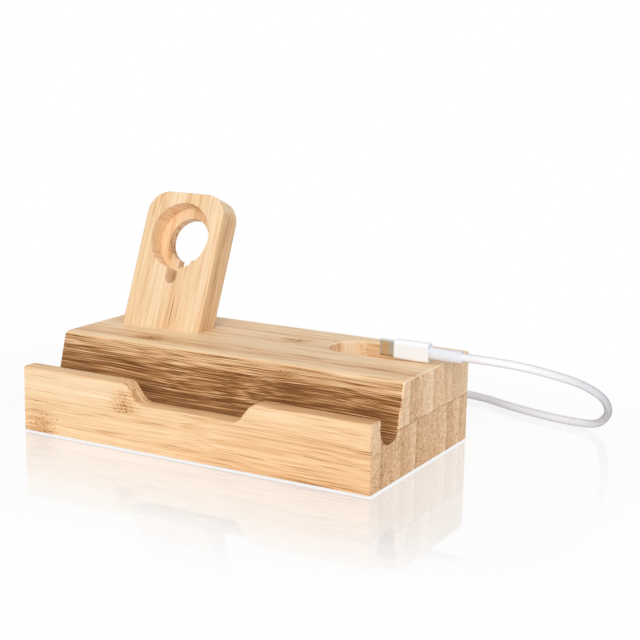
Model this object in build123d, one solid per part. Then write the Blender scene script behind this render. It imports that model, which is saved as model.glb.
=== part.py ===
from build123d import *
import math
import os

# Charging station organizer: a laminated bamboo block with a long slot along its front, a shallow
# pocket in its top and a leaning plank behind the slot, and the white charging lead that goes with it.
# Millimetres. X runs along the block (right as seen from the front), Y goes from the front to the
# back, Z is up. The origin is the middle of the block's footprint on the surface it stands on.

# The block: two boards lie on each other, and a rail is glued to their front
BLOCK_LENGTH = 156.0
BLOCK_DEPTH = 85.0
LOWER_BOARD_HEIGHT = 19.0
UPPER_BOARD_HEIGHT = 17.0
RAIL_HEIGHT = 26.2
RAIL_THICKNESS = 7.8
EDGE_ROUND = 0.7

# The slot along the front, which is open at both ends. Its rear wall leans back, in degrees
SLOT_FRONT_WALL = 7.0
SLOT_FLOOR_HEIGHT = 15.4
SLOT_FRONT_RADIUS = 7.0
SLOT_FLOOR_WIDTH = 2.1
SLOT_REAR_RADIUS = 5.5
SLOT_REAR_LEAN = 15.5
SLOT_LIP_ROUND = 2.5

# The low middle of the rail
NOTCH_BOTTOM_WIDTH = 44.1
NOTCH_DEPTH = 7.8
NOTCH_RAMP_RUN = 6.3
NOTCH_CORNER_ROUND = 5.0
NOTCH_OFFSET = 0.4

# The pocket in the top, with a well through its floor and a channel below for a lead
POCKET_LENGTH = 46.0
POCKET_WIDTH = 23.0
POCKET_DEPTH = 9.0
POCKET_RIM = 7.4
POCKET_END_WALL = 5.7
WELL_LENGTH = 12.0
WELL_WIDTH = 7.0
CHANNEL_WIDTH = 6.0
CHANNEL_HEIGHT = 6.0

# The leaning plank, which has a round seat for a charger near its top
STAND_WIDTH = 38.5
STAND_THICKNESS = 12.0
STAND_REACH = 59.3
STAND_TILT = 22.0
STAND_SETBACK = 51.2
STAND_END_SPACE = 10.25
STAND_TOP_ROUND = 10.0
STAND_EDGE_ROUND = 0.8
MORTISE_DEPTH = 6.0
MORTISE_GAP = 0.05
SEAT_RADIUS = 14.3
SEAT_DEPTH = 8.0
SEAT_TOP_WALL = 4.6
SEAT_LEDGE = 4.8
LEAD_SLOT_WIDTH = 5.5
LEAD_SLOT_DROP = 6.5

# Dowels that pin the plank to the upper board
DOWEL_RADIUS = 3.0
DOWEL_LENGTH = 18.0
DOWEL_SPACING = 22.0
DOWEL_GAP = 0.05
DOWEL_END_GAP = 0.5
DOWEL_CHAMFER = 0.6

# Silicone pads, each in a shallow round recess under a corner
PAD_RADIUS = 5.0
PAD_HEIGHT = 2.0
PAD_PROUD = 0.8
PAD_INSET = 14.0
PAD_GAP = 0.1
PAD_ROUND = 0.4

# The lead's small plug, which stands on its narrow side over the pocket's front edge
TIP_WIDTH = 6.7
TIP_THICKNESS = 1.6
TIP_LENGTH = 6.6
TIP_ROUND = 0.75
TIP_END_ROUND = 0.2
TIP_ROOT = 0.4
CONTACT_COUNT = 8
CONTACT_PITCH = 0.7
CONTACT_WIDTH = 0.4
CONTACT_LENGTH = 3.0
CONTACT_PROUD = 0.06
CONTACT_INSET = 0.9
PLUG_LENGTH = 14.5
PLUG_WIDTH = 7.7
PLUG_THICKNESS = 5.0
PLUG_ROUND = 1.5
PLUG_END_ROUND = 0.5
PLUG_SETBACK = 4.7
PLUG_REACH = 2.9
RELIEF_LENGTH = 13.2
RELIEF_ROOT_RADIUS = 2.4
RELIEF_TIP_RADIUS = 2.25

# The lead itself
LEAD_DIAMETER = 3.2
ARC_SHARE = 0.45
COIL_MEAN_RADIUS = 17.6
COIL_GAP = 0.55
COIL_INWARD_HALF_TURNS = 7
COIL_CENTRE_X = 12.0
COIL_BACK = 58.5
TIE_WIDTH = 8.0
TIE_THICKNESS = 0.8
TIE_GAP = 0.1
TIE_SLACK = 2.1
TIE_ROUND = 1.6

# The broad plug at the lead's far end
USB_WIDTH = 15.4
USB_HEIGHT = 8.0
USB_LENGTH = 20.0
USB_ROUND = 2.4
USB_END_ROUND = 0.6
USB_RELIEF_LENGTH = 10.0
USB_RELIEF_ROOT_RADIUS = 3.1
SHELL_WIDTH = 12.0
SHELL_HEIGHT = 4.5
SHELL_LENGTH = 12.0
SHELL_WALL = 0.35
SHELL_ROUND = 0.7
WINDOW_SIZE = 2.2
WINDOW_PLACE_SHARE = 0.5
WINDOW_SPACING_SHARE = 0.5
TONGUE_THICKNESS = 1.8
TONGUE_SETBACK = 0.8
TONGUE_GAP = 0.15
USB_CONTACT_COUNT = 4
USB_CONTACT_PITCH = 2.3
USB_CONTACT_WIDTH = 1.1
USB_CONTACT_LENGTH = 7.5
USB_CONTACT_PROUD = 0.08

# How far a cutting tool runs past the face that it cuts
OVERRUN = 2.0

# Places that several pieces share
FRONT_Y = -BLOCK_DEPTH / 2
REAR_Y = BLOCK_DEPTH / 2
BASE_Z = PAD_PROUD
SEAM_Z = BASE_Z + LOWER_BOARD_HEIGHT
TOP_Z = SEAM_Z + UPPER_BOARD_HEIGHT
RAIL_BACK_Y = FRONT_Y + RAIL_THICKNESS
SLOT_FLOOR_Z = BASE_Z + SLOT_FLOOR_HEIGHT
SLOT_FRONT_Y = FRONT_Y + SLOT_FRONT_WALL
SLOT_MIDDLE_Y = SLOT_FRONT_Y + SLOT_FRONT_RADIUS
SLOT_LEAN = math.radians(SLOT_REAR_LEAN)
SLOT_FLOOR_END_Y = SLOT_MIDDLE_Y + SLOT_FLOOR_WIDTH
SLOT_REAR_FOOT_Y = SLOT_FLOOR_END_Y + SLOT_REAR_RADIUS * math.cos(SLOT_LEAN)
SLOT_REAR_FOOT_Z = SLOT_FLOOR_Z + SLOT_REAR_RADIUS * (1 - math.sin(SLOT_LEAN))
SLOT_REAR_Y = SLOT_REAR_FOOT_Y + (TOP_Z - SLOT_REAR_FOOT_Z) * math.tan(SLOT_LEAN)
POCKET_Y = REAR_Y - POCKET_RIM - POCKET_WIDTH / 2
POCKET_X = BLOCK_LENGTH / 2 - POCKET_END_WALL - POCKET_LENGTH / 2
POCKET_FLOOR_Z = TOP_Z - POCKET_DEPTH
STAND_X = STAND_END_SPACE + STAND_WIDTH / 2 - BLOCK_LENGTH / 2

# The lead's start at the small plug, its coil and its free stretch
LEAD_RADIUS = LEAD_DIAMETER / 2
PLUG_Y = POCKET_Y - POCKET_WIDTH / 2 + PLUG_REACH
PLUG_Z = TOP_Z + PLUG_WIDTH / 2
RELIEF_START_X = BLOCK_LENGTH / 2 - PLUG_SETBACK
RELIEF_END_X = RELIEF_START_X + RELIEF_LENGTH
PLUG_START_X = RELIEF_START_X - PLUG_LENGTH
COIL_PITCH = LEAD_DIAMETER + COIL_GAP
COIL_OUTER_RADIUS = COIL_MEAN_RADIUS + (COIL_INWARD_HALF_TURNS - 1) * COIL_PITCH / 4
COIL_Z = LEAD_RADIUS + TIE_THICKNESS + TIE_GAP
COIL_TOP_Z = COIL_Z + COIL_PITCH
COIL_ENTRY = Vector(COIL_CENTRE_X, REAR_Y + COIL_BACK, COIL_Z)
COIL_CENTRE_Y = COIL_ENTRY.Y - COIL_OUTER_RADIUS
USB_Z = USB_HEIGHT / 2


def carried_along_x(face):
    # A face drawn as (Y, Z), carried along the whole length of the block
    return extrude(Plane.YZ * face, amount=BLOCK_LENGTH / 2, both=True)


def box_between(low, high):
    size = Vector(high) - Vector(low)
    middle = (Vector(low) + Vector(high)) / 2
    return Pos(middle) * Box(size.X, size.Y, size.Z)


def slot_face():
    # The slot's section: an upright front wall, an arc, a narrow flat floor, a tighter arc and a rear
    # wall that leans back and goes on straight past the top
    front_top = (SLOT_FRONT_Y, TOP_Z + OVERRUN)
    front_foot = (SLOT_FRONT_Y, SLOT_FLOOR_Z + SLOT_FRONT_RADIUS)
    floor_start = (SLOT_MIDDLE_Y, SLOT_FLOOR_Z)
    floor_end = (SLOT_FLOOR_END_Y, SLOT_FLOOR_Z)
    rear_foot = (SLOT_REAR_FOOT_Y, SLOT_REAR_FOOT_Z)
    rear_top = (SLOT_REAR_Y + OVERRUN * math.tan(SLOT_LEAN), TOP_Z + OVERRUN)
    lines = [
        Line(front_top, front_foot),
        TangentArc(front_foot, floor_start, tangent=(0, -1)),
        Line(floor_start, floor_end),
        TangentArc(floor_end, rear_foot, tangent=(1, 0)),
        Line(rear_foot, rear_top),
        Line(rear_top, front_top),
    ]
    return make_face(lines)


def slot_tool():
    return extrude(Plane.YZ * slot_face(), amount=BLOCK_LENGTH / 2 + OVERRUN, both=True)


def rail_face(inset):
    # The rail seen from the front. Its top line dips between two ramps with rounded heads and feet.
    # An inset moves that line into the wood, square to itself.
    half_ramp = math.atan2(NOTCH_DEPTH, NOTCH_RAMP_RUN) / 2
    high = BASE_Z + RAIL_HEIGHT - inset
    low = high - NOTCH_DEPTH
    foot = NOTCH_BOTTOM_WIDTH / 2 + inset * math.tan(half_ramp)
    head = foot + NOTCH_RAMP_RUN
    end = BLOCK_LENGTH / 2
    corners = [
        (NOTCH_OFFSET - head, high),
        (NOTCH_OFFSET - foot, low),
        (NOTCH_OFFSET + foot, low),
        (NOTCH_OFFSET + head, high),
    ]
    ends = [(end, high), (end, BASE_Z), (-end, BASE_Z), (-end, high)]
    face = make_face(Polyline(*corners, *ends, close=True))
    heads = [v for v in face.vertices() if is_near_any(v, (corners[0], corners[3]))]
    face = fillet(heads, NOTCH_CORNER_ROUND - inset)
    feet = [v for v in face.vertices() if is_near_any(v, (corners[1], corners[2]))]
    return fillet(feet, NOTCH_CORNER_ROUND + inset)


def is_near_any(vertex, points):
    return any((Vector(vertex) - Vector(*point)).length < EDGE_ROUND for point in points)


def lies_at(edge, axis, value):
    # True for an edge that lies wholly in the plane where this coordinate has this value
    box = edge.bounding_box()
    low = getattr(box.min, axis)
    high = getattr(box.max, axis)
    return abs(low - value) < MORTISE_GAP and abs(high - value) < MORTISE_GAP


def make_front_rail():
    # A plate with softened edges, and a heel behind it that carries the front of the slot's curve
    plate = Pos(0, FRONT_Y, 0) * extrude(Plane.XZ * rail_face(0), amount=-SLOT_FRONT_WALL)
    front = [e for e in plate.edges() if lies_at(e, "Y", FRONT_Y) and not lies_at(e, "Z", BASE_Z)]
    rear = [e for e in plate.edges() if lies_at(e, "Y", SLOT_FRONT_Y)]
    rear_top = [e for e in rear if e.bounding_box().min.Z > BASE_Z + EDGE_ROUND]
    plate = fillet(front + rear_top, EDGE_ROUND)
    heel = Pos(0, FRONT_Y, 0) * extrude(Plane.XZ * rail_face(EDGE_ROUND), amount=-RAIL_THICKNESS)
    heel -= slot_tool()
    return plate + heel


def make_lower_board():
    low = (-BLOCK_LENGTH / 2, RAIL_BACK_Y, BASE_Z)
    high = (BLOCK_LENGTH / 2, REAR_Y, SEAM_Z)
    board = box_between(low, high)
    board -= slot_tool() + notch_tool()
    board = fillet([e for e in board.edges() if is_upright_rear_edge(e)], EDGE_ROUND)
    board -= well_tool() + channel_tool()
    for x, y in pad_places():
        depth = PAD_HEIGHT - PAD_PROUD
        board -= Pos(x, y, BASE_Z + depth / 2) * Cylinder(PAD_RADIUS + PAD_GAP, depth)
    return board


def is_upright_rear_edge(edge):
    return lies_at(edge, "Y", REAR_Y) and abs(edge.center().X) > BLOCK_LENGTH / 2 - EDGE_ROUND


def notch_tool():
    # What the rail's low middle takes off the front edge of the lower board
    top = (BLOCK_LENGTH / 2 + OVERRUN, SLOT_MIDDLE_Y, SEAM_Z + OVERRUN)
    slab = box_between((-top[0], RAIL_BACK_Y - OVERRUN, SLOT_FLOOR_Z), top)
    depth = SLOT_MIDDLE_Y - FRONT_Y
    return slab - Pos(0, FRONT_Y, 0) * extrude(Plane.XZ * rail_face(EDGE_ROUND), amount=-depth)


def upper_board_face():
    # The board's section behind the slot, with a broad round on its front lip
    front = SLOT_MIDDLE_Y
    outline = Polyline((front, SEAM_Z), (front, TOP_Z), (REAR_Y, TOP_Z), (REAR_Y, SEAM_Z), close=True)
    face = make_face(outline) - slot_face()
    lip = [v for v in face.vertices() if is_near_any(v, ((SLOT_REAR_Y, TOP_Z),))]
    face = fillet(lip, SLOT_LIP_ROUND)
    back = [v for v in face.vertices() if is_near_any(v, ((REAR_Y, TOP_Z),))]
    return fillet(back, EDGE_ROUND)


def make_upper_board():
    board = carried_along_x(upper_board_face())
    end = BLOCK_LENGTH / 2
    ends = [e for e in board.edges() if lies_at(e, "X", end) or lies_at(e, "X", -end)]
    board = fillet([e for e in ends if not lies_at(e, "Z", SEAM_Z)], EDGE_ROUND)
    pocket = Pos(POCKET_X, POCKET_Y, POCKET_FLOOR_Z) * SlotOverall(POCKET_LENGTH, POCKET_WIDTH)
    board -= extrude(pocket, amount=POCKET_DEPTH + OVERRUN)
    rim = [e for e in board.edges() if lies_at(e, "Z", TOP_Z) and is_pocket_edge(e)]
    board = fillet(rim, EDGE_ROUND)
    board -= well_tool() + mortise_tool()
    for x in dowel_places():
        board -= dowel_hole(x)
    return board


def is_pocket_edge(edge):
    # True for an edge that lies within the pocket's own outline, with half an edge round to spare
    box = edge.bounding_box()
    reach_x = (POCKET_LENGTH + EDGE_ROUND) / 2
    reach_y = (POCKET_WIDTH + EDGE_ROUND) / 2
    inside_x = POCKET_X - reach_x < box.min.X and box.max.X < POCKET_X + reach_x
    return inside_x and POCKET_Y - reach_y < box.min.Y and box.max.Y < POCKET_Y + reach_y


def well_tool():
    # The upright way for a lead, from the pocket's floor down to the channel below
    low = BASE_Z + CHANNEL_HEIGHT / 2
    face = Plane.XY.offset(low) * (Pos(POCKET_X, POCKET_Y) * SlotOverall(WELL_LENGTH, WELL_WIDTH))
    return extrude(face, amount=POCKET_FLOOR_Z + OVERRUN - low)


def channel_tool():
    # The way out for a lead: a groove along the underside, from the well to the back
    half = CHANNEL_WIDTH / 2
    start = POCKET_Y - WELL_WIDTH / 2
    return box_between(
        (POCKET_X - half, start, BASE_Z - OVERRUN),
        (POCKET_X + half, REAR_Y + OVERRUN, BASE_Z + CHANNEL_HEIGHT),
    )


def stand_plane():
    # The plank's front face: its X is across, its Y goes up the plank, and it looks at the user.
    # The origin is where the face crosses the top of the block.
    tilt = math.radians(STAND_TILT)
    origin = (STAND_X, FRONT_Y + STAND_SETBACK, TOP_Z)
    return Plane(origin=origin, x_dir=(1, 0, 0), z_dir=(0, -math.cos(tilt), math.sin(tilt)))


def stand_stock(gap):
    # The plank without its seat, drawn on its front face, with a foot that reaches below the mortise
    foot = STAND_THICKNESS + MORTISE_DEPTH * 2
    height = STAND_REACH + foot
    rectangle = Pos(0, STAND_REACH - height / 2) * Rectangle(STAND_WIDTH + gap * 2, height)
    stock = extrude(stand_plane() * rectangle, amount=-(STAND_THICKNESS + gap))
    return stock if gap == 0 else stock + extrude(stand_plane() * rectangle, amount=gap)


def below_foot():
    reach = STAND_REACH + BLOCK_DEPTH
    floor = TOP_Z - MORTISE_DEPTH
    return box_between((-reach, -reach, floor - reach), (reach, reach, floor))


def mortise_tool():
    return stand_stock(MORTISE_GAP) - below_foot()


def make_charger_stand():
    plank = stand_stock(0)
    tops = [e for e in plank.edges() if is_top_corner(e)]
    plank = fillet(tops, STAND_TOP_ROUND)
    plane = stand_plane()
    faces = [plane, plane.offset(-STAND_THICKNESS)]
    outline = [e for e in plank.edges() if any(is_on_plane(e, face) for face in faces)]
    outline = [e for e in outline if plane.to_local_coords(e.center()).Y > -STAND_THICKNESS]
    plank = fillet(outline, STAND_EDGE_ROUND)
    plank -= below_foot()
    seat = STAND_REACH - SEAT_TOP_WALL - SEAT_RADIUS
    bore = plane * (Pos(0, seat) * Circle(SEAT_RADIUS))
    plank -= extrude(bore, amount=-SEAT_DEPTH) + extrude(bore, amount=OVERRUN)
    hole = Pos(0, seat) * Circle(SEAT_RADIUS - SEAT_LEDGE)
    drop = SEAT_RADIUS + LEAD_SLOT_DROP
    slot = Pos(0, seat - drop / 2) * Rectangle(LEAD_SLOT_WIDTH, drop - LEAD_SLOT_WIDTH)
    slot += Pos(0, seat - drop + LEAD_SLOT_WIDTH / 2) * Circle(LEAD_SLOT_WIDTH / 2)
    plank -= extrude(plane * (hole + slot), amount=-(STAND_THICKNESS + OVERRUN))
    plank -= extrude(plane * (hole + slot), amount=OVERRUN)
    for x in dowel_places():
        plank -= dowel_hole(x)
    return plank


def is_top_corner(edge):
    local = stand_plane().to_local_coords(edge.center())
    at_side = abs(abs(local.X) - STAND_WIDTH / 2) < STAND_EDGE_ROUND
    return at_side and abs(local.Y - STAND_REACH) < STAND_EDGE_ROUND


def is_on_plane(edge, plane):
    return all(abs(plane.to_local_coords(Vector(v)).Z) < MORTISE_GAP for v in edge.vertices())


def dowel_places():
    return [STAND_X - DOWEL_SPACING / 2, STAND_X + DOWEL_SPACING / 2]


def dowel_frame(x):
    # The middle of a dowel, in the middle of the plank's thickness where its foot stands
    tilt = math.radians(STAND_TILT)
    drop = MORTISE_DEPTH * math.tan(tilt)
    half = STAND_THICKNESS / math.cos(tilt) / 2
    y = FRONT_Y + STAND_SETBACK - drop + half
    return Pos(x, y, TOP_Z - MORTISE_DEPTH) * Rot(-STAND_TILT, 0, 0)


def dowel_hole(x):
    return dowel_frame(x) * Cylinder(DOWEL_RADIUS + DOWEL_GAP, DOWEL_LENGTH + DOWEL_END_GAP * 2)


def make_stand_dowels():
    dowels = []
    for x in dowel_places():
        pin = Cylinder(DOWEL_RADIUS, DOWEL_LENGTH)
        dowels.append(dowel_frame(x) * chamfer(pin.edges().filter_by(GeomType.CIRCLE), DOWEL_CHAMFER))
    return Compound(children=dowels)


def pad_places():
    x = BLOCK_LENGTH / 2 - PAD_INSET
    y = BLOCK_DEPTH / 2 - PAD_INSET
    return [(-x, -y), (x, -y), (-x, y), (x, y)]


def make_foot_pad(x, y):
    pad = Pos(x, y, PAD_HEIGHT / 2) * Cylinder(PAD_RADIUS, PAD_HEIGHT)
    return fillet(pad.edges().group_by(Axis.Z)[0], PAD_ROUND)


def rounded_bar(width, height, corner, start, end, end_round):
    # A bar along X with rounded long edges and softened ends, on the line Y = Z = 0
    section = RectangleRounded(width, height, corner)
    bar = extrude(Plane.YZ.offset(start) * section, amount=end - start)
    ends = [e for e in bar.edges() if lies_at(e, "X", start) or lies_at(e, "X", end)]
    return fillet(ends, end_round)


def tapered_relief(start, end, root, tip):
    # A strain relief along X, from its root on the plug to its narrow end
    cone = Cone(root, tip, abs(end - start))
    turn = Rot(0, 90, 0) if end > start else Rot(0, -90, 0)
    return Pos((start + end) / 2, 0, 0) * turn * cone


def plug_place():
    # The plug is drawn with its width along Y and then turned, so that its width stands upright
    return Pos(0, PLUG_Y, PLUG_Z) * Rot(90, 0, 0)


def make_plug_tip():
    # A flat tongue with round sides, and a square root that meets the housing
    start = PLUG_START_X - TIP_LENGTH
    root = PLUG_START_X - TIP_ROOT
    tip = rounded_bar(TIP_WIDTH, TIP_THICKNESS, TIP_ROUND, start, PLUG_START_X, TIP_END_ROUND)
    tip -= box_between((root, -TIP_WIDTH, -TIP_WIDTH), (PLUG_START_X + OVERRUN, TIP_WIDTH, TIP_WIDTH))
    half = TIP_WIDTH / 2 - TIP_ROUND
    tip += box_between((root, -half, -TIP_THICKNESS / 2), (PLUG_START_X, half, TIP_THICKNESS / 2))
    return plug_place() * tip


def make_plug_contacts():
    # A row of flat contacts on each broad side of the tip
    x = PLUG_START_X - TIP_LENGTH + CONTACT_INSET + CONTACT_LENGTH / 2
    contact = Box(CONTACT_LENGTH, CONTACT_WIDTH, CONTACT_PROUD)
    contacts = []
    for side in (-1, 1):
        z = side * (TIP_THICKNESS + CONTACT_PROUD) / 2
        for number in range(CONTACT_COUNT):
            y = (number - (CONTACT_COUNT - 1) / 2) * CONTACT_PITCH
            contacts.append(plug_place() * Pos(x, y, z) * contact)
    return Compound(children=contacts)


def make_plug_housing():
    start = PLUG_START_X
    end = RELIEF_START_X
    bar = rounded_bar(PLUG_WIDTH, PLUG_THICKNESS, PLUG_ROUND, start, end, PLUG_END_ROUND)
    return plug_place() * bar


def make_plug_strain_relief():
    start = RELIEF_START_X
    relief = tapered_relief(start, RELIEF_END_X, RELIEF_ROOT_RADIUS, RELIEF_TIP_RADIUS)
    return plug_place() * relief


# The lead's free stretch, from the small plug round to the coil that lies behind the block. It
# leaves the plug straight, drops in a wide turn to the surface and runs back behind the block.
LOOP_ROUTE = [
    (86.5, 15.0, 40.65),
    (97.0, 15.0, 40.65),
    (110.0, 19.5, 38.7),
    (120.0, 28.5, 35.0),
    (126.5, 40.5, 29.8),
    (130.5, 53.0, 22.9),
    (129.2, 65.3, 15.2),
    (125.4, 76.1, 8.8),
    (118.8, 83.9, 2.9),
    (107.3, 86.4, 1.6),
    (93.0, 89.2, 1.6),
    (76.5, 95.0, 1.6),
    (59.0, 103.2, 1.6),
    (42.0, 104.6, 1.6),
    (27.0, 101.0, 2.5),
    (15.2, 101.0, 2.5),
]

# The lead's last stretch, from the top of the coil to the broad plug beside it
TAIL_ROUTE = [
    (8.8, 97.25, 6.25),
    (-3.5, 97.25, 6.25),
    (-16.0, 98.2, 5.0),
    (-28.0, 97.3, 4.0),
    (-38.0, 97.3, 4.0),
]


def corner_radii(route):
    # Each arc takes its share of the shorter of its two runs
    radii = []
    for before, corner, after in zip(route, route[1:], route[2:]):
        arriving = Vector(*corner) - Vector(*before)
        leaving = Vector(*after) - Vector(*corner)
        half_turn = math.radians(arriving.get_angle(leaving)) / 2
        radii.append(ARC_SHARE * min(arriving.length, leaving.length) / math.tan(half_turn))
    return radii


def tube_along(path):
    section = Plane(origin=path @ 0, z_dir=path % 0) * Circle(LEAD_RADIUS)
    return sweep(section, path=path)


def report_tube(name, tube, path):
    expected = math.pi * LEAD_RADIUS**2 * path.length
    print(f"{name}: length {path.length:.1f} mm")
    print(f"{name}: volume {tube.volume:.0f}, section times length {expected:.0f}")


def make_free_stretch(name, route):
    radii = corner_radii(route)
    print(f"{name}: radii in diameters", [round(radius / LEAD_DIAMETER, 1) for radius in radii])
    path = FilletPolyline(*route, radius=radii)
    tube = tube_along(path)
    report_tube(name, tube, path)
    return tube


def coil_path():
    # Half turns whose centres alternate, so that the line spirals in at a steady rate, climbs one
    # layer in the half turn where it reverses, and spirals out again on top. Both ends are straight.
    step = COIL_PITCH / 2
    entry = COIL_ENTRY + Vector(LEAD_DIAMETER, 0, 0)
    pieces = [Line(entry, COIL_ENTRY)]
    here = COIL_ENTRY
    side = -1
    inward = [COIL_OUTER_RADIUS - k * step for k in range(COIL_INWARD_HALF_TURNS)]
    reverse = inward[-1] - step
    outward = inward[:0:-1]
    climbs = [0] * len(inward) + [COIL_PITCH] + [0] * len(outward)
    for radius, climb in zip(inward + [reverse] + outward, climbs):
        there = here + Vector(0, side * radius * 2, climb)
        bulge = (there - here).length / 2
        middle = (here + there) / 2 + Vector(side * bulge, 0, 0)
        pieces.append(ThreePointArc(here, middle, there))
        here = there
        side = -side
    pieces.append(Line(here, here - Vector(LEAD_DIAMETER, 0, 0)))
    return Wire([edge for piece in pieces for edge in piece.edges()])


def least_self_gap(path):
    # Points a quarter of a diameter apart. A pair counts once the line between them is longer than
    # a half circle two diameters across, so that neighbours along the tube are left out.
    count = int(path.length / (LEAD_DIAMETER / 4))
    points = [path @ (k / count) for k in range(count + 1)]
    apart = int(math.pi * LEAD_DIAMETER / (path.length / count))
    least = min(
        (points[i] - points[j]).length
        for i in range(0, count + 1)
        for j in range(i + apart, count + 1)
    )
    return least - LEAD_DIAMETER


def make_cable_coil():
    path = coil_path()
    coil = tube_along(path)
    report_tube("cable_coil", coil, path)
    print(f"cable_coil: least gap to itself {least_self_gap(path):.2f} mm, ends at {path @ 1}")
    return coil


def make_coil_tie():
    # A strap round the coil's left side, wide enough for the curve of its turns
    wound = (COIL_INWARD_HALF_TURNS - 1) * COIL_PITCH / 2
    inner = COIL_OUTER_RADIUS - wound - LEAD_RADIUS - TIE_SLACK
    outer = COIL_OUTER_RADIUS + LEAD_RADIUS + TIE_GAP
    width = outer - inner
    height = COIL_TOP_Z + LEAD_RADIUS + TIE_GAP - TIE_THICKNESS
    window = RectangleRounded(width, height, TIE_ROUND)
    thick = TIE_THICKNESS * 2
    band = RectangleRounded(width + thick, height + thick, TIE_ROUND + TIE_THICKNESS)
    middle_x = COIL_CENTRE_X - (inner + outer) / 2
    middle_y = COIL_CENTRE_Y - COIL_PITCH / 2
    middle_z = TIE_THICKNESS + height / 2
    strap = extrude(Plane.XZ * (band - window), amount=TIE_WIDTH / 2, both=True)
    return Pos(middle_x, middle_y, middle_z) * strap


def usb_place():
    end = TAIL_ROUTE[-1]
    return Pos(end[0], end[1], USB_Z)


def make_usb_strain_relief():
    start = -USB_RELIEF_LENGTH
    relief = tapered_relief(start, 0, USB_RELIEF_ROOT_RADIUS, RELIEF_TIP_RADIUS)
    return usb_place() * relief


def make_usb_housing():
    end = -USB_RELIEF_LENGTH
    bar = rounded_bar(USB_WIDTH, USB_HEIGHT, USB_ROUND, shell_root(), end, USB_END_ROUND)
    return usb_place() * bar


def shell_root():
    # Where the metal sleeve comes out of the housing
    return -USB_RELIEF_LENGTH - USB_LENGTH


def make_usb_shell():
    # A folded sheet-metal sleeve, open at its mouth, with two square windows above and below
    root = shell_root()
    mouth = root - SHELL_LENGTH
    outside = RectangleRounded(SHELL_WIDTH, SHELL_HEIGHT, SHELL_ROUND)
    walls = SHELL_WALL * 2
    inside = RectangleRounded(SHELL_WIDTH - walls, SHELL_HEIGHT - walls, SHELL_ROUND - SHELL_WALL)
    shell = extrude(Plane.YZ.offset(mouth) * (outside - inside), amount=SHELL_LENGTH)
    for side in (-1, 1):
        x = mouth + SHELL_LENGTH * WINDOW_PLACE_SHARE
        y = side * SHELL_WIDTH * WINDOW_SPACING_SHARE / 2
        shell -= Pos(x, y, 0) * Box(WINDOW_SIZE, WINDOW_SIZE, SHELL_HEIGHT + OVERRUN)
    return usb_place() * shell


def tongue_top():
    return -SHELL_HEIGHT / 2 + SHELL_WALL + TONGUE_GAP + TONGUE_THICKNESS


def make_usb_tongue():
    # The plastic tongue that carries the contacts, along one broad side of the sleeve
    root = shell_root()
    half = SHELL_WIDTH / 2 - SHELL_WALL - TONGUE_GAP * 2
    return usb_place() * box_between(
        (root - SHELL_LENGTH + TONGUE_SETBACK, -half, tongue_top() - TONGUE_THICKNESS),
        (root, half, tongue_top()),
    )


def make_usb_contacts():
    root = shell_root()
    contacts = []
    for number in range(USB_CONTACT_COUNT):
        y = (number - (USB_CONTACT_COUNT - 1) / 2) * USB_CONTACT_PITCH
        x = root - USB_CONTACT_LENGTH / 2 - TONGUE_SETBACK
        place = Pos(x, y, tongue_top() + USB_CONTACT_PROUD / 2)
        contact = Box(USB_CONTACT_LENGTH, USB_CONTACT_WIDTH, USB_CONTACT_PROUD)
        contacts.append(usb_place() * place * contact)
    return Compound(children=contacts)


def make_all():
    nodes = {
        "front_rail": make_front_rail(),
        "lower_board": make_lower_board(),
        "upper_board": make_upper_board(),
        "charger_stand": make_charger_stand(),
        "stand_dowels": make_stand_dowels(),
        "plug_tip": make_plug_tip(),
        "plug_contacts": make_plug_contacts(),
        "plug_housing": make_plug_housing(),
        "plug_strain_relief": make_plug_strain_relief(),
        "cable_loop": make_free_stretch("cable_loop", LOOP_ROUTE),
        "cable_coil": make_cable_coil(),
        "cable_tail": make_free_stretch("cable_tail", TAIL_ROUTE),
        "coil_tie": make_coil_tie(),
        "usb_strain_relief": make_usb_strain_relief(),
        "usb_housing": make_usb_housing(),
        "usb_shell": make_usb_shell(),
        "usb_tongue": make_usb_tongue(),
        "usb_contacts": make_usb_contacts(),
    }
    corners = ("front_left", "front_right", "rear_left", "rear_right")
    for corner, (x, y) in zip(corners, pad_places()):
        nodes[f"foot_pad_{corner}"] = make_foot_pad(x, y)
    return nodes


if __name__ == "__main__":
    os.makedirs("parts", exist_ok=True)
    for name, shape in make_all().items():
        export_step(shape, f"parts/{name}.step")
        print(f"{name}: {len(shape.solids())} solid(s), volume {shape.volume:.1f}")
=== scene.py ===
# %% [markdown]
# # A bamboo charging dock and its white lead
# The dock is a laminated bamboo block: a rail in front, two boards on each other behind it, a long slot
# between them, a pocket in the top and a leaning plank with a round seat. A white charging lead lies on
# it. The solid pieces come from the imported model, which stays as it is. This script gives them their
# finishes, makes the soft pieces, and lights and frames the whole.

import math

import bpy
import numpy as np
from mathutils import Matrix, Vector


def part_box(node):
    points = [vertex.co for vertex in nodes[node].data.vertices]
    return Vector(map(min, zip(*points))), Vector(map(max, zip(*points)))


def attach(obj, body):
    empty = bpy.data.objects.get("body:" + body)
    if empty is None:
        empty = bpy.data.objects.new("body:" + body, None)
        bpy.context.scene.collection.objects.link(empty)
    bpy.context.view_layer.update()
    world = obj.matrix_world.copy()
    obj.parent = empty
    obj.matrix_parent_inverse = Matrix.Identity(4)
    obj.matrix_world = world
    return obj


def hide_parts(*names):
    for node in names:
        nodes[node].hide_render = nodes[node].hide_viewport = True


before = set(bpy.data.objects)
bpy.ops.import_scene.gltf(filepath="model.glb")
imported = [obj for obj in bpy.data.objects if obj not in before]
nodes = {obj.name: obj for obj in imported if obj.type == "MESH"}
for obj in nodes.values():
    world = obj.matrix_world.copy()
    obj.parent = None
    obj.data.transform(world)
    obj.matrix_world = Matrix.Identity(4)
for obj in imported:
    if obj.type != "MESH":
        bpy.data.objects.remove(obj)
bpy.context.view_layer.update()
MM = 0.001
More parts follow.
